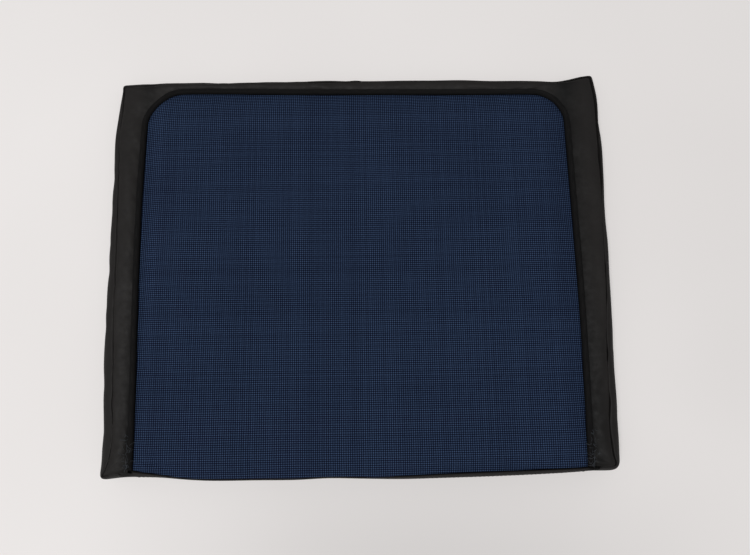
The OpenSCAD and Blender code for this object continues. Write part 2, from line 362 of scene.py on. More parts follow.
# Wall: bulges out from the seam and turns in under the edge. Its first rows are distances out from the
# seam, heights above it and shares of the groove; the last of them is the wall's crown.
RIM_INSET, RIM_Z = 2.6, 0.9
MIDDLE_SHARE = 0.42
ABOVE_SEAM = ((0.08, 0.3, 0.5), (0.4, 0.8, 0.9), (1.3, 1.1, 1.0))
seam_z = border_z[:, -1]
middle_z = MIDDLE_SHARE * front_z(edge[:, 1])
profile = [(seam_inset - away, seam_z + rise + share * groove) for away, rise, share in ABOVE_SEAM]
crown_inset, crown_z = profile[-1]
for angle in np.radians([-52, -26, -4, 20, 46, 72, 90]):
    if angle < 0:
        reach, height = crown_inset, crown_z - middle_z
    else:
        reach, height = RIM_INSET, middle_z - RIM_Z
    profile.append((reach * (1 - math.cos(angle)), middle_z - height * math.sin(angle)))
WALLS = slice(WALL_START, N - WALL_START + 1)
wall_columns = [lift(edge - edge_out * np.broadcast_to(inset, N + 1)[:, None], z) for inset, z in profile]
wall = np.concatenate([border[WALLS, -1:], keep(np.stack(wall_columns, 1)[WALLS])], 1)

# Bottom lip: rolls over the edge below the mesh and turns in to the zip; at its ends it meets the walls.
# The roll's rows are shares of the reach, of the ends' inset and of the height above the turn. The turn's
# rows are distances in from the edge, shares of the ends' inset and heights above the zip's channel.
LIP_ROLL = ((0.65, 0.4, 0.84), (0.27, 0.7, 0.58), (0.06, 1, 0.26), (0, 1, 0))
LIP_TURN = ((0.3, 0.7, 1.2), (1.2, 0.4, 0.25), (2.6, 0, 0.02))
LIP_REACH, LIP_GAP, LIP_SINK, LIP_TURN_HEIGHT = 3.4, 0.9, 0.4, 3
LIP_END_DROP, LIP_DROP_FROM, LIP_DROP_TO = 3.1, 165, 178
LIP_END_INSET, LIP_INSET_FROM, LIP_INSET_TO = 0.7, 158, 177
BEFORE_TAPE = 0.05
HEM_SINK = 0.2
lip_x = np.concatenate([edge[[2, 1], 0], [outer[0, 0]], ends_x, [outer[-1, 0]], edge[[N - 1, N - 2], 0]])
lip_edge = NEAR_Y + through(lip_x, BOTTOM_EDGE)
lip_reach = np.minimum(LIP_REACH, np.interp(lip_x, ends_x, lower_end[:, 1]) - LIP_GAP - lip_edge)
lip_top_y = lip_edge + lip_reach
lip_end_drop = LIP_END_DROP * step(np.abs(lip_x), LIP_DROP_FROM, LIP_DROP_TO)
lip_top_z = front_z(lip_top_y) - LIP_SINK - lip_end_drop
lip_turn_z = CHANNEL_HI + LIP_TURN_HEIGHT
lip_end = LIP_END_INSET * step(np.abs(lip_x), LIP_INSET_FROM, LIP_INSET_TO)
lip_rows = []
for reach, ease, rise in LIP_ROLL:
    y = lip_edge + lip_reach * reach + lip_end * ease
    lip_rows.append(np.stack([lip_x, y, lip_turn_z + (lip_top_z - lip_turn_z) * rise], 1))
for inward, ease, rise in LIP_TURN:
    lip_rows.append(level_row(lip_x, lip_edge + inward + lip_end * ease, CHANNEL_HI + rise))
lip_rows.append(level_row(lip_x, TAPE_Y - BEFORE_TAPE, CHANNEL_HI))
lip_top = np.stack([lip_x, lip_top_y, lip_top_z], 1)[3:-3]
lip_seam = keep(lip_top)
top_row = np.concatenate([border[[2, 1, 0], -1], lip_seam, border[[N, N - 1, N - 2], -1]])
lip = np.vstack([top_row[None], keep(np.stack(lip_rows))])

# Hem: joins the mesh's lower end to the lip
fold = 0.5 * (lower_end + lip_top[:, :2])
hem = np.stack([window[0], keep(lift(fold, front_z(fold[:, 1]) - HEM_SINK)), lip_seam])

points = np.concatenate(shell)


def settle(points, faces, held, cap, pressure, spare, frames=20):
    """Lets the fabric settle under a little pressure from inside. Returns each point's move, capped."""
    mesh = bpy.data.meshes.new("settling")
    mesh.from_pydata((points * MM).tolist(), [], faces.tolist())
    cover = bpy.data.objects.new("settling", mesh)
    scene.collection.objects.link(cover)
    group = cover.vertex_groups.new(name="held")
    group.add(np.flatnonzero(held).tolist(), 1.0, "REPLACE")
    cloth = cover.modifiers.new("cloth", "CLOTH")
    s = cloth.settings
    s.quality = 6
    s.mass = 0.25
    s.tension_stiffness = s.compression_stiffness = 18
    s.shear_stiffness = 6
    s.bending_stiffness = 1.5
    s.use_pressure = True
    s.uniform_pressure_force = pressure
    s.effector_weights.gravity = 0
    s.vertex_group_mass = "held"
    s.shrink_min = -spare
    cloth.point_cache.frame_start, cloth.point_cache.frame_end = 1, frames
    for f in range(1, frames + 1):
        scene.frame_set(f)
    shown = cover.evaluated_get(bpy.context.evaluated_depsgraph_get())
    co = np.zeros(len(points) * 3)
    shown.data.vertices.foreach_get("co", co)
    scene.frame_set(1)
    bpy.data.objects.remove(cover)
    bpy.data.meshes.remove(mesh)
    move = co.reshape(-1, 3) / MM - points
    size = np.linalg.norm(move, axis=1)
    return move * (np.tanh(size / cap) * cap / np.maximum(size, 1e-9))[:, None]


# What the seams hold, and how far each panel may move
LEATHER_CAP, MESH_CAP = 0.8, 1.8
PRESSURE, SPARE_CLOTH = 4.0, 0.006
window_rim = np.concatenate([window[:, 0], window[-1, 1:], window[-2::-1, -1]])
held = np.zeros(len(points), bool)
for seams in (border[:, 0], border[:, -1], border[0], border[-1], window_rim, wall[:, -2:], lip, hem):
    held[seams] = True
cap = np.full(len(points), LEATHER_CAP)
cap[window] = MESH_CAP
under_bead = cells(np.stack([window_rim, border[:, 0]], 1))
wound = [cells(window.T), cells(border), cells(wall), cells(lip), cells(hem), under_bead]
points = points + settle(points, np.concatenate(wound), held, cap, PRESSURE, SPARE_CLOTH)

# Slow dents of the padding below, away from the seams: x, y, two radii, turn in degrees and depth
DENTS = (
    (148, -68, 34, 13, 62, 1.1),
    (30, -20, 40, 9, -40, 0.7),
    (-110, -55, 42, 10, -25, 0.5),
    (60, 95, 34, 10, 30, 0.6),
)
# Its swells have a height, a wavelength and a seed
SWELLS = ((0.55, 95, 4), (0.25, 38, 9))
FREE_CELLS = 6
x, y = points[window, 0], points[window, 1]
dents = sum(height * ripple(x, y, wavelength, seed) for height, wavelength, seed in SWELLS)
for cx, cy, rx, ry, turn, depth in DENTS:
    c, s = math.cos(math.radians(turn)), math.sin(math.radians(turn))
    a, b = ((x - cx) * c + (y - cy) * s) / rx, (-(x - cx) * s + (y - cy) * c) / ry
    dents -= depth * np.exp(-(a * a + b * b))
points[window, 2] += dents * step(np.minimum(from_rim, FREE_CELLS), 0, FREE_CELLS)

# Waves along the border and the walls, and puckers where the piping ends in the bottom seam
BORDER_WAVE, WALL_WAVE = 0.22, 0.35
PUCKER_DEPTH, PUCKER_PITCH = 0.8, 4.6
PUCKER_WIDE, PUCKER_TALL, PUCKER_FULL_WIDTH = 9, 15, 14
run = lengths(edge)[:, None]
inside_border = np.sin(np.pi * ACROSS)[None, :]
points[border, 2] += BORDER_WAVE * inside_border * ripple(run, ACROSS[None] * 40, wavelength=46, seed=21)
for end in (0, N):
    bx, by = points[border, 0] - bead[end, 0], points[border, 1] - bead[end, 1]
    fade = np.exp(-((np.abs(bx) / PUCKER_WIDE) ** 2)) * np.exp(-(np.maximum(by, 0) / PUCKER_TALL))
    fade = fade * inside_border**0.5 * np.minimum(width / PUCKER_FULL_WIDTH, 1) ** 2
    phase = 2 * math.pi * by / PUCKER_PITCH + 0.4 * bx + 0.8 * ripple(bx, by, wavelength=9, seed=5 + end)
    points[border, 2] += fade * PUCKER_DEPTH * np.sin(phase)
wall_depths = wall.shape[1]
wave = ripple(run[WALLS], np.linspace(0, 30, wall_depths)[None], wavelength=52, seed=33)
wave = WALL_WAVE * np.sin(np.pi * np.linspace(0, 1, wall_depths))[None, :] * wave
points[wall, :2] += edge_out[WALLS][:, None] * wave[..., None]


# ---------------------------------------------------------------- materials
class Graph:
    """A small node builder: values or sockets go in, and an output socket comes back."""

    def __init__(self, name):
        self.material = bpy.data.materials.new(name)
        self.material.use_nodes = True
        self.tree = self.material.node_tree
        self.tree.nodes.clear()
        self.output = self.tree.nodes.new("ShaderNodeOutputMaterial")
        self.place = self.node("TexCoord", out="Object")

    def node(self, kind, out=0, inputs=None, **settings):
        n = self.tree.nodes.new("ShaderNode" + kind)
        for key, value in settings.items():
            setattr(n, key, value)
        for key, value in (inputs or {}).items():
            if isinstance(value, bpy.types.NodeSocket):
                self.tree.links.new(value, n.inputs[key])
            else:
                n.inputs[key].default_value = value
        return n.outputs[out]

    def axes(self, place):
        """The three coordinates of a place."""
        split = self.tree.nodes.new("ShaderNodeSeparateXYZ")
        self.tree.links.new(place, split.inputs[0])
        return split.outputs

    def math(self, operation, a, b=0.0):
        return self.node("Math", inputs={0: a, 1: b}, operation=operation)

    def vector(self, operation, a, b):
        return self.node("VectorMath", inputs={0: a, 1: b}, operation=operation)

    def scale(self, color, share):
        return self.node("VectorMath", inputs={0: color, "Scale": share}, operation="SCALE")

    def noise(self, scale, detail=2.0, rough=0.5, place=None):
        """Noise from 0 to 1, with scale in waves per metre."""
        return self.node("TexNoise", inputs={
            "Vector": place or self.place, "Scale": scale, "Detail": detail, "Roughness": rough})

    def scatter(self, scale):
        """The distance from the nearest of scattered points, with scale in points per metre."""
        return self.node("TexVoronoi", inputs={"Vector": self.place, "Scale": scale}, feature="F1")

    def ramp(self, value, lo, hi, a=0.0, b=1.0, interpolation_type="LINEAR"):
        """A value that goes from a to b where the input goes from lo to hi."""
        inputs = {0: value, 1: lo, 2: hi, 3: a, 4: b}
        return self.node("MapRange", inputs=inputs, interpolation_type=interpolation_type)

    def mix(self, share, a, b):
        """The colour a where share is 0 and b where it is 1."""
        n = self.tree.nodes.new("ShaderNodeMix")
        n.data_type = "RGBA"
        # Sockets 6 and 7 and output 2 are the node's colours
        for i, value in ((0, share), (6, a), (7, b)):
            if isinstance(value, bpy.types.NodeSocket):
                self.tree.links.new(value, n.inputs[i])
            else:
                n.inputs[i].default_value = value if i == 0 else (*value, 1)
        return n.outputs[2]

    def bump(self, height, depth_mm, strength=1.0, normal=None):
        inputs = {"Height": height, "Distance": depth_mm * MM, "Strength": strength}
        if normal is not None:
            inputs["Normal"] = normal
        return self.node("Bump", inputs=inputs)

    def finish(self, color, rough, normal=None, **constants):
        """Closes the material. constants are set on the shader's own sockets."""
        shader = self.tree.nodes.new("ShaderNodeBsdfPrincipled")
        for key, value in (("Base Color", color), ("Roughness", rough), ("Normal", normal)):
            if isinstance(value, bpy.types.NodeSocket):
                self.tree.links.new(value, shader.inputs[key])
            elif value is not None:
                shader.inputs[key].default_value = value
        for key, value in constants.items():
            shader.inputs[key.replace("_", " ")].default_value = value
        self.tree.links.new(shader.outputs[0], self.output.inputs[0])
        return self.material


def leather():
    """Black faux leather, darkened on the front beside the piping as painted shade, deeper on the right."""
    # Painted shade beside the piping: place of the piping in metres, how far the painted shade reaches, and
    # how dark
    piping_shade_bands = ((0.172, 0.0155, 0.10), (-0.172, 0.009, 0.50))
    dark_until, front_from, front_full = 0.002, 0.006, 0.009
    g = Graph("faux_leather")
    pebbles = g.scatter(1100.0)
    pores = g.noise(2600.0, 3, 0.6)
    grain = g.math("ADD", g.math("MULTIPLY", pebbles, 0.7), g.math("MULTIPLY", pores, 0.5))
    creases = g.noise(120.0, 4, 0.55)
    tone = g.math("ADD", g.math("MULTIPLY", g.noise(18.0, 3), 0.5), g.math("MULTIPLY", grain, 0.35))
    color = g.mix(g.ramp(tone, 0.25, 0.85), (0.0080, 0.0072, 0.0069), (0.0136, 0.0119, 0.0112))
    x, _, z = g.axes(g.place)
    # Painted shade from the raised piping: the colour is darkest next to each piping line and clears further
    # out
    piping_shade = 1.0
    for piping_x, reach, shade in piping_shade_bands:
        away = g.math("ABSOLUTE", g.math("SUBTRACT", x, piping_x))
        piping_shade = g.math("MULTIPLY", g.ramp(away, dark_until, reach, shade, 1.0), piping_shade)
    # The painted shade lies only on the front: it fades out below front_full and is gone below front_from
    piping_shade = g.math("MAXIMUM", piping_shade, g.ramp(z, front_from, front_full, 1.0, 0.0))
    rough = g.ramp(g.noise(240.0, 3), 0.3, 0.7, 0.6, 0.74)
    normal = g.bump(grain, 0.09, 0.7, g.bump(creases, 0.25, 0.35))
    return g.finish(g.scale(color, piping_shade), rough, normal, Specular_IOR_Level=0.2)


def woven_mesh():
    """Open plain weave of blue threads over a dark ground, painted lighter with the yarns' height: painted
    highlights on the knots where threads cross, painted shade down their sides.
    """
    pitch, drift = 1.6 * MM, 0.35 * MM
    g = Graph("blue_mesh")
    wobble = g.node("TexNoise", out="Color", inputs={"Vector": g.place, "Scale": 60.0, "Detail": 1.0})
    place = g.vector("ADD", g.place, g.vector("MULTIPLY", wobble, (drift, drift, 0.0)))
    axes = g.axes(place)[:2]
    half_turns = [g.math("MULTIPLY", axis, math.pi / pitch) for axis in axes]
    over = g.math("MULTIPLY", g.math("COSINE", half_turns[0]), g.math("COSINE", half_turns[1]))
    yarns = []
    for half_turn, rise in zip(half_turns, (0.4, -0.4)):
        across = g.math("ABSOLUTE", g.math("COSINE", half_turn))
        body = g.math("POWER", g.ramp(across, 0.42, 1.0), 0.7)
        yarns.append(g.math("MULTIPLY", body, g.math("ADD", 0.6, g.math("MULTIPLY", over, rise))))
    height = g.math("MAXIMUM", *yarns)
    knot = g.math("MULTIPLY", *yarns)
    # Painted highlight and shade: the colour rises with the yarn's height and is lightest on the knots where
    # the threads cross
    shade = g.math("MULTIPLY", g.math("POWER", height, 3.0), 0.5)
    shade = g.math("ADD", shade, g.math("MULTIPLY", knot, 2.1))
    # Each thread has its own tone, and it varies along the thread
    slubs = 0.0
    for axis in axes:
        count = g.math("ROUND", g.math("DIVIDE", axis, pitch))
        slubs = g.math("ADD", g.node("TexWhiteNoise", inputs={"W": count}, noise_dimensions="1D"), slubs)
    slubs = g.math("ADD", slubs, g.math("MULTIPLY", g.noise(420.0), 2.5))
    patches = g.noise(16.0)
    light = g.math("MULTIPLY", shade, g.ramp(slubs, 1.0, 3.5, 0.76, 1.24))
    light = g.math("MULTIPLY", light, g.ramp(patches, 0.3, 0.7, 0.94, 1.06))
    color = g.mix(light, (0.0002, 0.0011, 0.0085), (0.0435, 0.0765, 0.154))
    fibres = g.math("MULTIPLY", g.noise(5200.0), 0.15)
    return g.finish(color, 0.8, g.bump(g.math("ADD", height, fibres), 0.5, 0.9), Specular_IOR_Level=0.08)


def fabric(name, dark, pale, pitch_mm, rough=0.85, depth=0.12, fuzz=2200.0, level=0.2):
    """Plain woven or felted fabric with a slight fuzz."""
    g = Graph(name)
    turn = 2 * math.pi / (pitch_mm * MM)
    waves = [g.math("SINE", g.math("MULTIPLY", axis, turn)) for axis in g.axes(g.place)]
    flat = g.math("MULTIPLY", waves[0], waves[1])
    weave = g.math("MULTIPLY", g.math("ADD", flat, g.math("ADD", waves[2], 1.5)), 0.3)
    felt = g.noise(fuzz, 4, 0.65)
    tone = g.math("ADD", g.math("MULTIPLY", weave, 0.35), g.math("MULTIPLY", felt, 0.8))
    color = g.mix(g.ramp(tone, 0.3, 0.9), dark, pale)
    return g.finish(color, rough, g.bump(tone, depth, 0.8), Specular_IOR_Level=level)


def foam(name, dark, pale, cell_mm):
    """Foam with cells of a given size."""
    g = Graph(name)
    pores = g.scatter(1 / (cell_mm * MM))
    tone = g.math("ADD", g.math("MULTIPLY", pores, 0.7), g.math("MULTIPLY", g.noise(3000.0, 3), 0.3))
    color = g.mix(g.ramp(tone, 0.15, 0.7), dark, pale)
    return g.finish(color, 0.9, g.bump(tone, 0.3, 0.7), Specular_IOR_Level=0.2)


def gunmetal():
    """Dark plated metal with fine scratches along X."""
    g = Graph("zip_metal")
    wear = g.noise(500.0, 4, 0.6)
    along_x = g.node("Mapping", inputs={"Vector": g.place, "Scale": (0.1, 1.0, 1.0)})
    scratch = g.noise(1500.0, 2, 0.5, along_x)
    color = g.mix(g.ramp(wear, 0.3, 0.8), (0.11, 0.11, 0.115), (0.17, 0.168, 0.165))
    rough = g.ramp(scratch, 0.3, 0.7, 0.26, 0.44)
    return g.finish(color, rough, g.bump(scratch, 0.02, 0.4), Metallic=1.0)


def nylon():
    """Black nylon of the zip's coils."""
    g = Graph("zip_coil")
    tone = g.noise(900.0)
    color = g.mix(tone, (0.010, 0.010, 0.011), (0.022, 0.022, 0.024))
    return g.finish(color, g.ramp(tone, 0.3, 0.7, 0.28, 0.4))


def floor_cloth():
    """Pale cloth with two painted soft shadows, below the pad's bottom edge and beside its right side. Each
    has a place and two radii in metres, and a shade.
    """
    painted_shadows = ((0.05, -0.25, 0.32, 0.17, 0.78), (0.30, -0.06, 0.16, 0.26, 0.95))
    g = Graph("floor")
    color = g.mix(g.ramp(g.noise(3.0), 0.3, 0.7), (0.76, 0.735, 0.725), (0.80, 0.775, 0.765))
    for x, y, wide, tall, shade in painted_shadows:
        away = g.vector("SUBTRACT", g.place, (x, y, 0))
        away = g.vector("MULTIPLY", away, (1 / wide, 1 / tall, 0))
        away = g.node("VectorMath", "Value", {0: away}, operation="LENGTH")
        color = g.scale(color, g.ramp(away, 0.0, 1.0, shade, 1.0, "SMOOTHSTEP"))
    return g.finish(color, 0.9, g.bump(g.noise(900.0, 3), 0.05, 0.3), Specular_IOR_Level=0.2)


MATERIALS = {
    "faux_leather": leather(),
    "blue_mesh": woven_mesh(),
    "black_trim": fabric("black_trim", (0.0022, 0.0022, 0.0024), (0.0085, 0.0080, 0.0080), 0.7, level=0.1),
    "loose_fibre": fabric("loose_fibre", (0.025, 0.028, 0.034), (0.10, 0.115, 0.13), 0.9),
    "white_cord": fabric("white_cord", (0.55, 0.54, 0.51), (0.78, 0.77, 0.74), 0.9),
    "wadding": fabric("wadding", (0.10, 0.10, 0.105), (0.22, 0.22, 0.225), 1.4, depth=0.3, fuzz=900.0),
    "zip_tape": fabric("zip_tape", (0.006, 0.006, 0.0065), (0.02, 0.02, 0.021), 0.5),
    "zip_coil": nylon(),
    "zip_metal": gunmetal(),
    "comfort_foam": foam("comfort_foam", (0.55, 0.50, 0.38), (0.78, 0.73, 0.58), 0.9),
    "impact_foam": foam("impact_foam", (0.16, 0.165, 0.17), (0.33, 0.335, 0.345), 1.3),
    "stiffener": fabric(
        "stiffener", (0.66, 0.67, 0.68), (0.74, 0.75, 0.76), 3.0, rough=0.45, depth=0.02, level=0.4),
}


# ---------------------------------------------------------------- pieces
def add_piece(name, vertices, faces, slot, replaced=(), material=None):
    """A piece of the cover, with its slot's own material unless another is named."""
    mesh = bpy.data.meshes.new(name)
    mesh.from_pydata((np.asarray(vertices) * MM).tolist(), [], [list(map(int, f)) for f in faces])
    mesh.validate()
    mesh.polygons.foreach_set("use_smooth", [True] * len(mesh.polygons))
    piece = bpy.data.objects.new(name, mesh)
    scene.collection.objects.link(piece)
    mesh.materials.append(MATERIALS[material or slot])
    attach(piece, "cover")
    if replaced:
        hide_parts(*replaced)
    return piece


def subdivide(piece, levels):
    m = piece.modifiers.new("subdivision", "SUBSURF")
    m.levels = m.render_levels = levels
    m.boundary_smooth = "PRESERVE_CORNERS"


def thicken(piece, thickness, offset=-1.0):
    m = piece.modifiers.new("thickness", "SOLIDIFY")
    m.thickness, m.offset = thickness * MM, offset
    m.use_even_offset = False


def panel(name, grid, slot, replaced, thickness=SKIN, levels=2):
    """A sewn panel from a grid of points, thickened inwards."""
    piece = add_piece(name, grid.reshape(-1, 3), grid_cells(grid), slot, replaced)
    subdivide(piece, levels)
    thicken(piece, thickness)
    return piece


def grid_normals(grid):
    n = np.cross(np.gradient(grid, axis=0), np.gradient(grid, axis=1))
    return n / np.maximum(np.linalg.norm(n, axis=-1, keepdims=True), 1e-9)


panel("mesh_cover", points[window.T], "blue_mesh", ["mesh_panel"], 1.4, 1)
panel("border_cover", points[border], "faux_leather", ["front_border"])
split_left, split_right = WALL_SPLIT - WALL_START, N - WALL_SPLIT - WALL_START
for name, node, lo, hi in (
    ("side_panel_left", "side_wall_left", 0, split_left),
    ("top_binding", "top_edge_binding", split_left, split_right),
    ("side_panel_right", "side_wall_right", split_right, N - 2 * WALL_START),
):
    panel(name, points[wall[lo : hi + 1]], "faux_leather", [node])

panel("bottom_panel_upper", points[lip], "faux_leather", ["bottom_strip_upper"])
panel("mesh_hem", points[hem], "faux_leather", [])

# Lower strip: from the back's rim up to the zip, turned in like the upper one. Its rows are distances in
# from the edge and heights.
LOWER = (
    (RIM_INSET, RIM_Z), (1.3, 1.0), (0.4, 1.9), (0.1, 3.2), (0.3, 4.6), (1.1, CHANNEL_LO - 0.3),
    (RIM_INSET, CHANNEL_LO - 0.05),
)
LOWER_COLUMNS = 77
LOWER_END_GAP, LOWER_END_INSET, LOWER_INSET_FROM, LOWER_INSET_TO = 0.1, 0.7, 160, 176
low_first, low_last = edge[WALL_START], edge[-1 - WALL_START]
low_x = np.linspace(low_first[0] + LOWER_END_GAP, low_last[0] - LOWER_END_GAP, LOWER_COLUMNS)
low_edge = NEAR_Y + through(low_x, BOTTOM_EDGE)
low_edge[0], low_edge[-1] = low_first[1], low_last[1]
low_end = LOWER_END_INSET * step(np.abs(low_x), LOWER_INSET_FROM, LOWER_INSET_TO)
low_rows = []
for inward, z in LOWER:
    low_rows.append(level_row(low_x, low_edge + inward + low_end * (RIM_INSET - inward) / RIM_INSET, z))
low_rows.append(level_row(low_x, TAPE_Y - BEFORE_TAPE, CHANNEL_LO))
panel("bottom_panel_lower", np.stack(low_rows)[::-1], "faux_leather", ["bottom_strip_lower"])

# Back: flat on what it lies on, with its rim drawn up into the seam
CORNER_TURN = 6
BACK_LOW, BACK_STEP, BACK_WAVE = 0.12, 0.3, 0.3
rim = points[wall[:, -1]]
rim_left = rim[CORNER_TURN : LEFT_N - WALL_START + 1]
rim_right = rim[::-1][CORNER_TURN : LEFT_N - WALL_START + 1]
rim_top = rim[LEFT_N - WALL_START : N - LEFT_N - WALL_START + 1]
near_x = np.linspace(rim[0, 0], rim[-1, 0], TOP_CELLS - 2 * CORNER_TURN + 1)[1:-1]
near_row = level_row(near_x, NEAR_Y + through(near_x, BOTTOM_EDGE) + RIM_INSET, RIM_Z)
rim_near = np.vstack([rim[CORNER_TURN::-1], near_row, rim[: -CORNER_TURN - 2 : -1]])
back = tighten(coons(rim_left, rim_right, rim_near, rim_top), share=0.35)
swell = ripple(back[..., 0], back[..., 1], wavelength=60, seed=12)
back_z = BACK_LOW + BACK_WAVE * (0.5 + 0.5 * swell) ** 2
back[..., 2] = np.choose(np.minimum(to_rim(back), 2), [back[..., 2], BACK_STEP, back_z])
panel("back_sheet", back, "faux_leather", ["back_panel"], thickness=1.1, levels=1)


# ---------------------------------------------------------------- piping
def sweep(name, path, across, rings, slot, replaced):
    """A closed form of rings: rings[i] holds points (outward, up) round path[i]."""
    upward = np.array([0, 0, 1.0])
    vertices = path[:, None] + across[:, None] * rings[..., :1] + upward * rings[..., 1:]
    return add_piece(name, vertices.reshape(-1, 3), tube_faces(*rings.shape[:2]), slot, replaced)


def round_rings(angles, radius):
    """Rings of points (outward, up), from a radius for each ring and angle."""
    return np.stack([np.cos(angles), np.sin(angles)], 1)[None] * radius[..., None]


# The piping's line in space, its outward directions and the distance along it. It sinks at its ends.
PIPING_STEP, PIPING_LIFT = 1.25, 1.5
END_SINK, SINK_OVER = 1.6, 9
bead_z = 0.5 * (points[border[:, 0], 2] + points[window_rim, 2]) + PIPING_LIFT
line = lift(bead, bead_z)
line = resample(line, int(lengths(line)[-1] / PIPING_STEP))
line_out = np.concatenate([outward(line[:, :2]), np.zeros((len(line), 1))], 1)
gone = lengths(line)
to_tip = np.minimum(gone, gone[-1] - gone)
line[:, 2] -= END_SINK * (1 - step(to_tip, 0, SINK_OVER))

# Sleeve: slack twill, thinner and crumpled towards its ends
PIPING_SIDES = 20
TWILL_DEPTH, TWILL_PITCH = 0.0135, 3.1
SLACK, CRUMPLE, CRUMPLE_OVER = 0.045, 0.07, 34
THINNER, THINNER_OVER = 0.35, 12
along = gone[:, None]
angles = np.linspace(0, 2 * math.pi, PIPING_SIDES, endpoint=False)
around = angles[None]
crumpled = 1 - step(to_tip, 0, CRUMPLE_OVER)[:, None]
twill = TWILL_DEPTH * np.sin(2 * math.pi * along / TWILL_PITCH + around)
slack = SLACK * ripple(along, around * 6, wavelength=13, seed=41) * (1 + 2 * crumpled)
folds = CRUMPLE * ripple(along, around * 2, wavelength=4.2, seed=43) * crumpled
radius = BEAD_R - THINNER * (1 - step(to_tip, 0, THINNER_OVER))
radius = radius[:, None] * (1 + twill + slack + folds)
sweep("piping_sleeve", line, line_out, round_rings(angles, radius), "black_trim", ["piping_cover"])

# Cord: three strands twisted together, ending just inside the sleeve
CORD_R, STRAND_DEPTH, STRAND_PITCH, CORD_TRIM = 1.62, 0.07, 9.0, 1.5
strands = CORD_R * (1 + STRAND_DEPTH * np.cos(3 * around + 2 * math.pi * along / STRAND_PITCH))
inside = to_tip > CORD_TRIM
cord_rings = round_rings(angles, strands[inside])
sweep("piping_core", line[inside], line_out[inside], cord_rings, "white_cord", ["piping_cord"])

# Seam allowance: a flat tape below the sleeve
TAPE_EVERY = 3
tape = np.array([[-0.5, -3.7], [0.5, -3.7], [0.5, -2.5], [-0.5, -2.5]])
tape_line, tape_out = line[::TAPE_EVERY], line_out[::TAPE_EVERY]
tape_rings = np.broadcast_to(tape, (len(tape_line), 4, 2))
sweep("piping_tape", tape_line, tape_out, tape_rings, "black_trim", ["piping_flange"])


# ---------------------------------------------------------------- loose fibres and stitches
def threads(name, paths, radius, slot, sides=5, material=None):
    """Thin round threads, one along each path, drawn to a point at both ends."""
    vertices, faces, start = [], [], 0
    angles = np.linspace(0, 2 * math.pi, sides, endpoint=False)
    for path in paths:
        tangent = np.gradient(path, axis=0)
        tangent /= np.linalg.norm(tangent, axis=1)[:, None]
        level = np.cross(tangent, [0, 0, 1.0])
        level /= np.maximum(np.linalg.norm(level, axis=1), 1e-6)[:, None]
        third = np.cross(level, tangent)
        r = radius * np.minimum(1, 0.35 + 3 * np.sin(np.pi * np.linspace(0, 1, len(path))))
        ring = level[:, None] * np.cos(angles)[:, None] + third[:, None] * np.sin(angles)[:, None]
        vertices.append((path[:, None] + ring * r[:, None, None]).reshape(-1, 3))
        faces += tube_faces(len(path), sides, start)
        start += len(path) * sides
    return add_piece(name, np.concatenate(vertices), faces, slot, material=material)


FIBRES_PER_END, FIBRE_POINTS, FIBRE_R = 44, 9, 0.08
# How far up the piping they reach, their mean and spread away from it, their most bend and their lengths
FIBRE_RUN, FIBRE_AWAY, FIBRE_BEND, FIBRE_LENGTH = 26, (1.8, 1.7), 2.2, (1.6, 5.0)
# They lie on the piping and the panels beside it, and sink with the piping at its end
FIBRE_SINK, FIBRE_LOWEST, FIBRE_LIFT, FIBRE_END_SINK = 0.4, -0.6, 0.15, 1.2


def frayed_ends():
    """Short fibres that have worked loose where the piping runs into the bottom seam."""
    rng = np.random.default_rng(7)
    s = np.linspace(0, 1, FIBRE_POINTS)
    paths = []
    for near, side in ((bead[:CORNER_CELLS], -1), (bead[::-1][:CORNER_CELLS], 1)):
        end_y = near[0, 1]
        for _ in range(FIBRES_PER_END):
            y = end_y + 1 + FIBRE_RUN * rng.uniform(0, 1) ** 1.6
            x = np.interp(y, near[:, 1], near[:, 0]) + side * rng.normal(*FIBRE_AWAY)
            turn, bend = rng.uniform(0, 2 * math.pi), rng.uniform(-FIBRE_BEND, FIBRE_BEND)
            reach = rng.uniform(*FIBRE_LENGTH)
            heading = turn + bend * s
            px = x + np.cumsum(np.cos(heading)) * reach / FIBRE_POINTS
            py = np.maximum(y + np.cumsum(np.sin(heading)) * reach / FIBRE_POINTS, end_y - 1)
            off = px - np.interp(py, near[:, 1], near[:, 0])
            top = BEAD_R * np.sqrt(np.maximum(1 - (off / BEAD_R) ** 2, 0)) - FIBRE_SINK
            pz = front_z(py) + np.maximum(top, FIBRE_LOWEST)
            pz = pz - FIBRE_END_SINK * (1 - step(py, end_y, end_y + SINK_OVER))
            pz = pz + FIBRE_LIFT + rng.uniform(0.1, 0.9) * np.sin(np.pi * s)
            paths.append(np.stack([px, py, pz], 1))
    return paths


STITCH_PITCH, STITCH_LENGTH, STITCH_SINK, STITCHED_TO_X, STITCH_R = 3.2, 2.4, 0.22, 166, 0.2


def stitch_row(height, inward):
    """Stitches along the bottom wall, at a height and a distance in from the edge."""
    s = np.linspace(0, 1, 6)
    paths = []
    for x in np.arange(-STITCHED_TO_X, STITCHED_TO_X, STITCH_PITCH):
        px = x + STITCH_LENGTH * s
        py = NEAR_Y + through(px, BOTTOM_EDGE) + inward - STITCH_SINK * np.sin(np.pi * s) ** 0.5
        paths.append(level_row(px, py, height))
    return paths


threads("loose_fibres", frayed_ends(), FIBRE_R, "blue_mesh", 4, "loose_fibre")
stitches = stitch_row(CHANNEL_HI + 2.6, 0.12) + stitch_row(CHANNEL_LO - 1.6, 0.25)
threads("zip_stitches", stitches, STITCH_R, "black_trim")


# ---------------------------------------------------------------- padding inside
def rounded(half_width, y0, y1, r, n=10):
    """A rounded rectangle, anticlockwise."""
    x = half_width - r
    return np.vstack([
        arc(x, y0 + r, r, -90, 0, n), arc(x, y1 - r, r, 0, 90, n),
        arc(-x, y1 - r, r, 90, 180, n), arc(-x, y0 + r, r, 180, 270, n),
    ])


SLAB_HALF, SLAB_TAPER, SLAB_CORNER_R = 188.0, 2.5, 17
SLAB_NEAR_GAP, SLAB_FAR_GAP = 0.3, 1.0


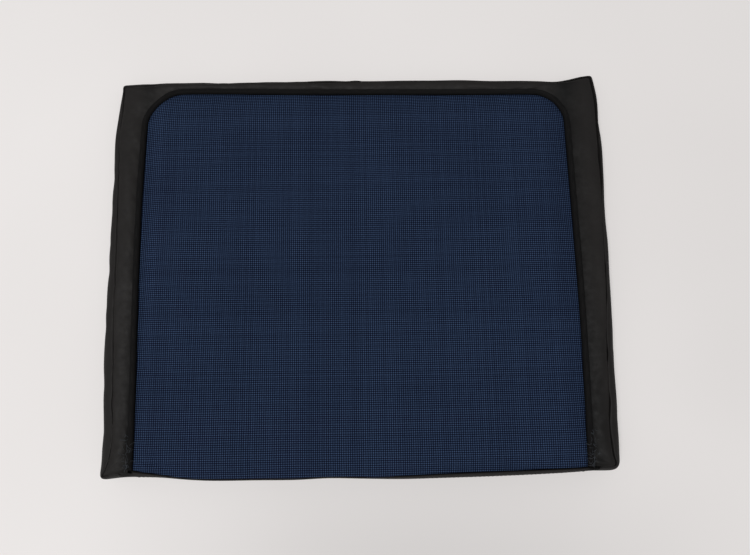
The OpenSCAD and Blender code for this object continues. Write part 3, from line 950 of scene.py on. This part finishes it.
def slab(name, flat, sloped, slot, replaced):
    """A pad with softened edges, narrower towards the bottom edge.

    It is built up of rings: first the flat ones, as (inset, height), and then the sloped ones, as
    (inset, height from the cover's front), which is negative below the front.
    """
    taper = SLAB_TAPER / SLAB_HALF
    rings = []
    for inset, height, slope in [(*level, 0) for level in flat] + [(*level, 1) for level in sloped]:
        near, far = foam_lo[1] + SLAB_NEAR_GAP + inset, foam_hi[1] - SLAB_FAR_GAP - inset
        ring = rounded(SLAB_HALF - inset, near, far, SLAB_CORNER_R - inset)
        ring[:, 0] *= 1 - taper * step(-ring[:, 1], 0, 150) + 0.5 * taper * step(ring[:, 1], 0, 150)
        rings.append(lift(ring, height + slope * front_z(ring[:, 1])))
    index = np.arange(len(rings) * len(rings[0])).reshape(len(rings), -1)
    index = np.concatenate([index, index[:, :1]], 1).T
    faces = cells(index).tolist() + [index[:-1, 0][::-1].tolist(), index[:-1, -1].tolist()]
    return add_piece(name, np.concatenate(rings), faces, slot, replaced)


BACKING_DEPTH, BACKING_T = 1.9, 2.1
WADDING_DEPTH, WADDING_T = 2.1, 1.8
under_mesh = points[window.T][2:-2, 2:-2]
under_mesh = under_mesh - grid_normals(under_mesh) * BACKING_DEPTH
backing = panel("mesh_backing_pad", under_mesh, "wadding", ["mesh_backing"], BACKING_T, 1)
under_border = points[border[6:-6, 2:-2]] - [0, 0, WADDING_DEPTH]
wadding = panel("border_wadding_pad", under_border, "wadding", ["border_wadding"], WADDING_T, 1)
COMFORT = [(1.2, -8.5), (0.3, -8.2), (0, -7.4), (0, -5.9), (0.3, -5.1), (1.2, -4.8)]
comfort = slab("comfort_pad", [], COMFORT, "comfort_foam", ["comfort_foam"])
IMPACT_FLAT, IMPACT_SLOPED = [(0.4, 3.15), (0, 3.3)], [(0, -9.2), (0.3, -8.9), (1.2, -8.65)]
impact = slab("impact_pad", IMPACT_FLAT, IMPACT_SLOPED, "impact_foam", ["impact_foam"])
STIFFENER = [(0.4, 1.5), (0, 1.7), (0, 2.7), (0.4, 2.9)]
slab("stiffener_plate", STIFFENER, [], "stiffener", ["stiffener_sheet"])


# ---------------------------------------------------------------- zip
TAPE_GAP, TAPE_WAVE, TAPE_T = 0.02, 0.04, 0.5


def zip_tape(name, node):
    """A slightly wavy woven tape, standing along X."""
    lo, hi = node_box(node)
    xs = np.linspace(lo[0], hi[0], 119)[None]
    zs = np.linspace(lo[2], hi[2], 9)[:, None]
    y = TAPE_Y + TAPE_GAP + TAPE_WAVE * ripple(xs, zs, wavelength=30, seed=3)
    grid = np.stack(np.broadcast_arrays(xs, y, zs), -1)
    piece = add_piece(name, grid.reshape(-1, 3), grid_cells(grid)[:, ::-1], "zip_tape", [node])
    thicken(piece, TAPE_T)


COIL_PITCH, COIL_R, WIRE_R = 1.27, 0.74, 0.30
COIL_STEPS, WIRE_SIDES, COIL_END = 12, 6, 0.5


def coil(name, side, node):
    """A nylon helix along X. side is 1 or -1, the way it winds."""
    lo, hi = node_box(node)
    turns = int((hi[0] - lo[0] - 2 * COIL_END) / COIL_PITCH)
    t = np.arange(turns * COIL_STEPS + 1) / COIL_STEPS
    spin = 2 * math.pi * t
    radial = np.stack([0 * spin, np.cos(spin), side * np.sin(spin)], 1)
    middle = np.array([0, lo[1] + 1.0, (lo[2] + hi[2]) / 2])
    path = middle + radial * COIL_R
    path[:, 0] = lo[0] + COIL_END + t * COIL_PITCH
    tangent = np.gradient(path, axis=0)
    tangent /= np.linalg.norm(tangent, axis=1)[:, None]
    third = np.cross(tangent, radial)
    a = np.linspace(0, 2 * math.pi, WIRE_SIDES, endpoint=False)[:, None]
    wire = path[:, None] + WIRE_R * (radial[:, None] * np.cos(a) + third[:, None] * np.sin(a))
    add_piece(name, wire.reshape(-1, 3), tube_faces(len(path), WIRE_SIDES), "zip_coil", [node])


zip_tape("tape_upper", "zip_tape_upper")
zip_tape("tape_lower", "zip_tape_lower")
coil("coil_upper", 1, "zip_coil_upper")
coil("coil_lower", -1, "zip_coil_lower")

# End tabs: along the tape, round a bend and out to the edge, with a slight bulge
TAB_Y, TAB_BEND_R, TAB_BULGE, TAB_T = TAPE_Y - 0.65, 1.6, 0.15, 0.9
bend_x = tab_hi[0] - 2.2
end_x = bend_x + TAB_BEND_R
tab_path = np.vstack([
    resample([[tab_lo[0] + 0.2, TAB_Y], [bend_x, TAB_Y]], 6),
    arc(bend_x, TAB_Y - TAB_BEND_R, TAB_BEND_R, 78, 10, 5),
    resample([[end_x, TAPE_Y - 2.8], [end_x, NEAR_Y + 3.8]], 4),
])
tab_z = np.linspace(CHANNEL_LO + 0.1, CHANNEL_HI - 0.1, 7)
for side, name in ((1, "end_tab_right"), (-1, "end_tab_left")):
    grid = np.stack([lift(tab_path * [side, 1], z) for z in tab_z])
    grid[..., 1] -= TAB_BULGE * np.sin(np.pi * np.linspace(0, 1, len(tab_z)))[:, None]
    tab = add_piece(name, grid.reshape(-1, 3), grid_cells(grid)[:, ::side], "faux_leather", ["zip_" + name])
    subdivide(tab, 1)
    thicken(tab, TAB_T, 0.0)

for node in ("zip_slider", "zip_pull", "zip_top_stops", "zip_bottom_stop"):
    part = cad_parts[node]
    part.data.materials.clear()
    part.data.materials.append(MATERIALS["zip_metal"])
    bevel = part.modifiers.new("bevel", "BEVEL")
    bevel.width, bevel.segments, bevel.limit_method = 0.18 * MM, 2, "ANGLE"

# ---------------------------------------------------------------- floor and light, in metres
FLOOR_HALF = 3
KEY_PLACE, KEY_SIZE, KEY_POWER = Vector((-0.5, -0.4, 2.6)), 1.7, 58
floor_mesh = bpy.data.meshes.new("floor")
corners = [(x * FLOOR_HALF, y * FLOOR_HALF, 0) for x, y in ((-1, -1), (1, -1), (1, 1), (-1, 1))]
floor_mesh.from_pydata(corners, [], [(0, 1, 2, 3)])
floor_mesh.materials.append(floor_cloth())
floor = bpy.data.objects.new("floor", floor_mesh)
scene.collection.objects.link(floor)
key = bpy.data.lights.new("key", "AREA")
key.shape = "DISK"
key.size = KEY_SIZE
key.energy = KEY_POWER
lamp = bpy.data.objects.new("key", key)
scene.collection.objects.link(lamp)
lamp.location = KEY_PLACE
lamp.rotation_euler = (-KEY_PLACE).to_track_quat("-Z", "Y").to_euler()
world = bpy.data.worlds.new("world")
scene.world = world
world.use_nodes = True
background = world.node_tree.nodes["Background"]
background.inputs["Color"].default_value = (1.0, 0.985, 0.98, 1)
background.inputs["Strength"].default_value = 0.3
scene.view_settings.view_transform = "Standard"
